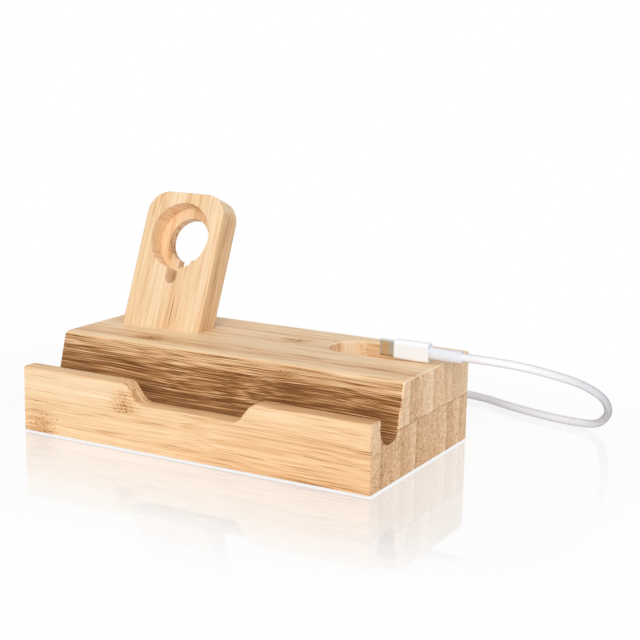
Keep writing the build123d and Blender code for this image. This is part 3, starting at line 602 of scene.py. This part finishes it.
# Upright strips side by side: a striped top, a streaked slot in painted shade, ends full of dots, and a
# painted highlight on their eased edges
upper_bamboo = bamboo("laminated_bamboo_upper_board", BOARD_AXES, UPPER_STRIPS, BOARD_END,
                      slot_edge=SLOT_EDGE, seam=SEAM_HEIGHT, painted_edge_highlight=0.36)
# The same build a little darker and with other strips, so that the ends step at the glue line
lower_bamboo = bamboo("laminated_bamboo_lower_board", BOARD_AXES, LOWER_STRIPS, BOARD_END,
                      slot_edge=SLOT_EDGE, seam=SEAM_HEIGHT)
# Strips that run up the plank: pale, with lines that lead the eye to the round seat
plank_bamboo = bamboo("laminated_bamboo_plank", PLANK_AXES, PLANK_STRIPS, PLANK_END, line_strength=0.42)
dress(rail_bamboo, nodes["front_rail"])
dress(upper_bamboo, nodes["upper_board"])
dress(lower_bamboo, nodes["lower_board"])
dress(plank_bamboo, nodes["charger_stand"])
print("bamboo finishes:", [m.name for m in (rail_bamboo, upper_bamboo, lower_bamboo, plank_bamboo)])

# %% [markdown]
# ## Plastics and rubber of the small pieces
# Moulded plastic is never quite even: its gloss wanders, and a mould leaves a fine line where its
# halves meet. These finishes share one builder, which varies the tone and the gloss with a soft noise
# and puts a fine grain in the surface. A flat colour would be simpler and would look like paper.

# %% A moulded finish
PATCH_WIDTH_MM = 9.0
PARTING_HALF_WIDTH_MM, PARTING_HEIGHT = 0.05, 1.2
# A skin with an index so near to air's tints what lies below it and adds no mirror image of its own
SKIN_IOR = 1.02


def moulded(name, colour, shade, roughness, grain_mm, depth_mm, ior=1.46, coat=0.0, soft=0.0,
            parting=None, gleam=0.5, skin=None):
    """A moulded plastic or rubber: colour and shade are mixed by patches, the gloss wanders with them,
    and a grain of the given size and depth roughens the surface. parting is the axis, by number, that
    crosses the mould's parting line, and its place on that axis in millimetres. gleam scales the
    mirror-like share of the surface, and 0.5 is what the IOR alone would give. skin is the tint of a
    clear outer layer, which shows most where the eye looks along the surface."""
    finish, tree = new_finish(name)
    place = add_node(tree, "TexCoord").outputs["Object"]
    patches = add_node(tree, "TexNoise", {"Vector": place, "Scale": 1 / (PATCH_WIDTH_MM * MM),
                                          "Detail": 3.0})
    mixed = add_node(tree, "Mix", {0: patches, 6: linear(colour), 7: linear(shade)}, **OF_COLOURS)
    gloss = add_node(tree, "MapRange", {0: patches, 1: 0.3, 2: 0.7, 3: roughness * 0.85,
                                        4: roughness * 1.2})
    height = add_node(tree, "TexNoise", {"Vector": place, "Scale": 1 / (grain_mm * MM), "Detail": 2.0})
    if parting is not None:
        axis, middle_mm = parting
        parts = add_node(tree, "SeparateXYZ", {0: place})
        ridge = add_node(tree, "Math", {0: parts.outputs[axis], 1: middle_mm * MM,
                                        2: PARTING_HALF_WIDTH_MM * MM}, operation="COMPARE")
        height = add_node(tree, "Math", {0: ridge, 1: PARTING_HEIGHT, 2: height},
                          operation="MULTIPLY_ADD")
    bump = add_node(tree, "Bump", {"Height": height, "Strength": 0.6, "Distance": depth_mm * MM})
    inputs = {"Base Color": mixed.outputs[2], "Roughness": gloss, "IOR": ior,
              "Specular IOR Level": gleam, "Coat Weight": coat, "Coat Roughness": 0.08,
              "Subsurface Weight": soft, "Subsurface Scale": 1.2 * MM,
              "Subsurface Radius": (1.0, 0.95, 0.9), "Normal": bump}
    if skin is not None:
        inputs.update({"Coat Weight": 1.0, "Coat IOR": SKIN_IOR, "Coat Tint": linear(skin)})
    add_node(tree, "OutputMaterial", {0: add_node(tree, "BsdfPrincipled", inputs)})
    return finish


# %% Finish the plastic and rubber pieces
# Mould grain is finer than a tenth of a millimetre, and is drawn coarser here to show at all

# Extruded TPE: a satin white. Its clear skin greys it towards its edges, a painted shade, so the lead
# stands out from white ground
jacket_tpe = moulded("tpe_lead_jacket", "#FFFFFF", "#FAFAFB", roughness=0.42, grain_mm=0.8,
                     depth_mm=0.002, gleam=0.3, skin="#F2F1F3")
# Polished ABS: the brightest white here, with a thin sharp sheen and a fine line where the mould parts
housing_abs = moulded("polished_abs_housing", "#F8FCFF", "#F0F4FA", roughness=0.2, grain_mm=0.6,
                      depth_mm=0.01, ior=1.52, coat=0.35, parting=(1, 15.0))
# The same plastic in a neutral white, with its line round the flat housing's sides
supply_abs = moulded("polished_abs_supply_housing", "#FBFBFC", "#F3F3F5", roughness=0.2, grain_mm=0.6,
                     depth_mm=0.01, ior=1.52, coat=0.35, parting=(2, 4.0))
# Soft TPE: greyer and duller than the plug beside it, so the sleeve reads as a piece of its own
sleeve_tpe = moulded("tpe_relief_sleeve", "#EBEDF3", "#E1E3EA", roughness=0.42, grain_mm=0.8,
                     depth_mm=0.004, gleam=0.3)
# Cast silicone: a dull milky grey that lets a little light in at its edges
pad_silicone = moulded("cast_silicone_pad", "#C9C8C4", "#B9B8B3", roughness=0.55, grain_mm=0.35,
                       depth_mm=0.04, ior=1.41, soft=0.2)
# Moulded PBT: a matt off-white that sets off the contacts on it
tongue_pbt = moulded("pbt_contact_tongue", "#F2F1EE", "#E4E2DE", roughness=0.45, grain_mm=0.4,
                     depth_mm=0.02)
dress(jacket_tpe, lead)
dress(housing_abs, nodes["plug_housing"])
dress(supply_abs, nodes["usb_housing"])
dress(sleeve_tpe, *reliefs)
dress(pad_silicone, *[nodes[n] for n in nodes if n.startswith("foot_pad")])
dress(tongue_pbt, nodes["usb_tongue"])
print("moulded finishes:", [m.name for m in (jacket_tpe, housing_abs, supply_abs, sleeve_tpe)])

# %% [markdown]
# ## Metal of the plugs
# A plug's tip and shell are stamped from rolled sheet, and the rollers leave fine lines in it. A noise
# that is long one way draws them, which is cheaper than cutting them and gives the same soft streak.


# %% A rolled metal finish
def rolled_metal(name, colour, shade, roughness, line_mm, line_length_mm):
    """A rolled or brushed metal: fine lines along X vary its tone and its roughness. The lines are a
    noise that is long along X and as narrow as line_mm across."""
    finish, tree = new_finish(name)
    place = add_node(tree, "TexCoord").outputs["Object"]
    scale = [1 / (side * MM) for side in (line_length_mm, line_mm, line_mm)]
    drawn = add_node(tree, "Mapping", {"Vector": place, "Scale": scale})
    brushed = add_node(tree, "TexNoise", {"Vector": drawn, "Scale": 1.0, "Detail": 3.0})
    mixed = add_node(tree, "Mix", {0: brushed, 6: linear(colour), 7: linear(shade)}, **OF_COLOURS)
    rough = add_node(tree, "MapRange", {0: brushed, 3: roughness * 0.7, 4: roughness * 1.4})
    bump = add_node(tree, "Bump", {"Height": brushed, "Strength": 0.4, "Distance": 0.004 * MM})
    shader = add_node(tree, "BsdfPrincipled", {"Base Color": mixed.outputs[2], "Metallic": 1.0,
                                               "Roughness": rough, "Normal": bump})
    add_node(tree, "OutputMaterial", {0: shader})
    return finish


# Roller lines are a few hundredths of a millimetre wide, and are drawn wider here to show

# Stamped stainless steel: grey, with streaks that break up what it mirrors
plug_steel = rolled_metal("stamped_stainless_steel", "#D6D5D3", "#B4B3B1", roughness=0.28, line_mm=0.12,
                          line_length_mm=3.0)
# Gold plating on copper: small warm glints beside the grey steel
contact_gold = rolled_metal("gold_plated_copper", "#F1CC7A", "#DDB25C", roughness=0.2, line_mm=0.1,
                            line_length_mm=1.5)
dress(plug_steel, nodes["plug_tip"], nodes["usb_shell"])
dress(contact_gold, nodes["plug_contacts"], nodes["usb_contacts"])
print("metals:", plug_steel.name, contact_gold.name)

# %% [markdown]
# ## Woven tape and the dowels
# The strap is a plain weave: each thread goes over one and under the next. It follows the tape round
# its bends, so it is drawn on the tape's own UV map, which is in millimetres. The dowels are turned
# beech. They are hidden in the joint, so they borrow the bamboo's builder with one pale strip.

# %% A woven finish
THREAD_MM = 0.6  # real threads are about half as wide, and are drawn wider here to show


def woven_tape(name, colour, shade):
    """Plain weave on the tape's own UV map: two sine waves of the thread's pitch, multiplied, lift one
    set of threads where the other dips. The dips take the darker colour, a painted shade between the
    threads."""
    finish, tree = new_finish(name)
    cloth = add_node(tree, "UVMap", uv_map="cloth_mm")
    waves = []
    for place in add_node(tree, "SeparateXYZ", {0: cloth}).outputs[:2]:
        phase = add_node(tree, "Math", {0: place, 1: math.pi / THREAD_MM}, operation="MULTIPLY")
        waves.append(add_node(tree, "Math", {0: phase}, operation="SINE"))
    weave = add_node(tree, "Math", {0: waves[0], 1: waves[1]}, operation="MULTIPLY")
    raised = add_node(tree, "MapRange", {0: weave, 1: -1.0, 2: 1.0})
    # Painted shade: the dips between the threads take the darker colour
    mixed = add_node(tree, "Mix", {0: raised, 6: linear(shade), 7: linear(colour)}, **OF_COLOURS)
    bump = add_node(tree, "Bump", {"Height": raised, "Strength": 0.9, "Distance": 0.15 * MM})
    shader = add_node(tree, "BsdfPrincipled", {"Base Color": mixed.outputs[2], "Roughness": 0.8,
                                               "IOR": 1.53, "Sheen Weight": 0.3, "Normal": bump})
    add_node(tree, "OutputMaterial", {0: shader})
    return finish


# Woven nylon: a dark matt cloth with crossing threads, the only black on the object
strap_nylon = woven_tape("woven_nylon_tape", "#4A4B50", "#232428")
dress(strap_nylon, strap)
# Turned beech: even and warm, nearly without lines
DOWEL_STRIP = (-70.0, 0.55, 300.0)
dowel_beech = bamboo("turned_beech_dowel", PLANK_AXES, [DOWEL_STRIP], PLANK_END, line_strength=0.15)
dress(dowel_beech, nodes["stand_dowels"])
print("materials:", len(bpy.data.materials))

# %% [markdown]
# ## Floor, surroundings and light
# The photograph shows white all round and a faint mirror image below the block, so the floor is a
# polished white sheet. A paint-like layer catches the shadow, and a share of pure mirror shows the
# block. To the camera, part of the sheet is simply white, and further out all of it, so that no
# horizon shows. A backdrop and a compositor could do the same, but would not follow the block.

# %% The floor
FLOOR_SIDE = 6.0
BLOCK_HALF_SIDES = (0.078, 0.0425, 0)
WHITE_NEAR, WHITE_REACH = 0.84, 0.16  # share of plain white at the block, and where it is all white
IMAGE_SHARE, IMAGE_FULL, IMAGE_GONE = 0.34, 0.01, 0.09  # the mirror's share, and where it fades out
IMAGE_GAP_FROM, IMAGE_GAP_TO = 0.0004, 0.0014  # the thin line of light under the block's edge
half = FLOOR_SIDE / 2
floor_mesh = bpy.data.meshes.new("floor_sheet")
floor_mesh.from_pydata([(-half, -half, 0), (half, -half, 0), (half, half, 0), (-half, half, 0)], [],
                       [(0, 1, 2, 3)])
floor = bpy.data.objects.new("floor_sheet", floor_mesh)
bpy.context.scene.collection.objects.link(floor)
print("floor side in metres:", FLOOR_SIDE)

# %% The floor's finish
# Polished white sheet: a faint mirror image below the block that fades with distance, on plain white
floor_finish, tree = new_finish("polished_white_sheet")
path = add_node(tree, "LightPath")
place = add_node(tree, "TexCoord")
# How far a point lies outside the block's footprint: the length of what |place| has over half its sides
sides = add_node(tree, "VectorMath", {0: place.outputs["Object"]}, operation="ABSOLUTE")
over = add_node(tree, "VectorMath", {0: sides, 1: BLOCK_HALF_SIDES}, operation="SUBTRACT")
outside = add_node(tree, "VectorMath", {0: over, 1: (0, 0, 0)}, operation="MAXIMUM")
gap = add_node(tree, "VectorMath", {0: outside}, operation="LENGTH").outputs["Value"]
far = add_node(tree, "MapRange", {0: gap, 1: 0.0, 2: WHITE_REACH, 3: WHITE_NEAR, 4: 1.0}, **SMOOTH)
fade = add_node(tree, "MapRange", {0: gap, 1: IMAGE_FULL, 2: IMAGE_GONE, 3: IMAGE_SHARE, 4: 0.0},
                **SMOOTH)
clear = add_node(tree, "MapRange", {0: gap, 1: IMAGE_GAP_FROM, 2: IMAGE_GAP_TO})
image = add_node(tree, "Math", {0: fade, 1: clear}, operation="MULTIPLY")
white = add_node(tree, "Math", {0: far, 1: path.outputs["Is Camera Ray"]}, operation="MULTIPLY")
paint = add_node(tree, "BsdfDiffuse", {"Color": linear("#F7F7F7")})
glow = add_node(tree, "Emission", {"Color": (1, 1, 1, 1), "Strength": 1.0})
plain = add_node(tree, "MixShader", {0: white, 1: paint, 2: glow})
mirror = add_node(tree, "BsdfGlossy", {"Color": (1, 1, 1, 1), "Roughness": 0.04})
sheet = add_node(tree, "MixShader", {0: image, 1: plain, 2: mirror})
add_node(tree, "OutputMaterial", {0: sheet})
dress(floor_finish, floor)
print("floor finish:", floor_finish.name)

# %% [markdown]
# The room is white too. The camera and mirrors see it at full strength, but as a lamp it is much
# weaker, so that the forms keep their shade. The lamps are large and soft: one in front and a little to
# the right, a weaker one on the right for the ends of the boards, and one above for the tops.

# %% Surroundings
ROOM_STRENGTH = 0.34
world = bpy.data.worlds.new("white_room")
bpy.context.scene.world = world
world.use_nodes = True
tree = world.node_tree
tree.nodes.clear()
path = add_node(tree, "LightPath")
seen = add_node(tree, "Math", {0: path.outputs["Is Camera Ray"], 1: path.outputs["Is Glossy Ray"]},
                operation="MAXIMUM")
seen = add_node(tree, "Math", {0: seen, 1: path.outputs["Is Transmission Ray"]}, operation="MAXIMUM")
strength = add_node(tree, "MapRange", {0: seen, 3: ROOM_STRENGTH, 4: 1.0})
sky = add_node(tree, "Background", {"Color": (1, 1, 1, 1), "Strength": strength})
add_node(tree, "OutputWorld", {0: sky})
print("room strength as a lamp:", ROOM_STRENGTH)

# %% Lamps
LAMPS = [
    # name, place in metres, side in metres, watts
    ("front_lamp", (0.32, -1.20, 0.60), 0.7, 8.8),
    ("right_lamp", (1.15, -0.60, 0.50), 0.6, 3.8),
    ("top_lamp", (-0.1, 0.15, 1.5), 0.9, 5.0),
]
LAMP_AIM = Vector((0, 0, 0.03))
for name, place, side, watts in LAMPS:
    lamp_data = bpy.data.lights.new(name, "AREA")
    lamp_data.size, lamp_data.energy = side, watts
    lamp = bpy.data.objects.new(name, lamp_data)
    lamp.location = place
    lamp.rotation_euler = (LAMP_AIM - Vector(place)).to_track_quat("-Z", "Y").to_euler()
    bpy.context.scene.collection.objects.link(lamp)
bpy.context.scene.view_settings.view_transform = "Standard"
print("lamps:", [lamp[0] for lamp in LAMPS])
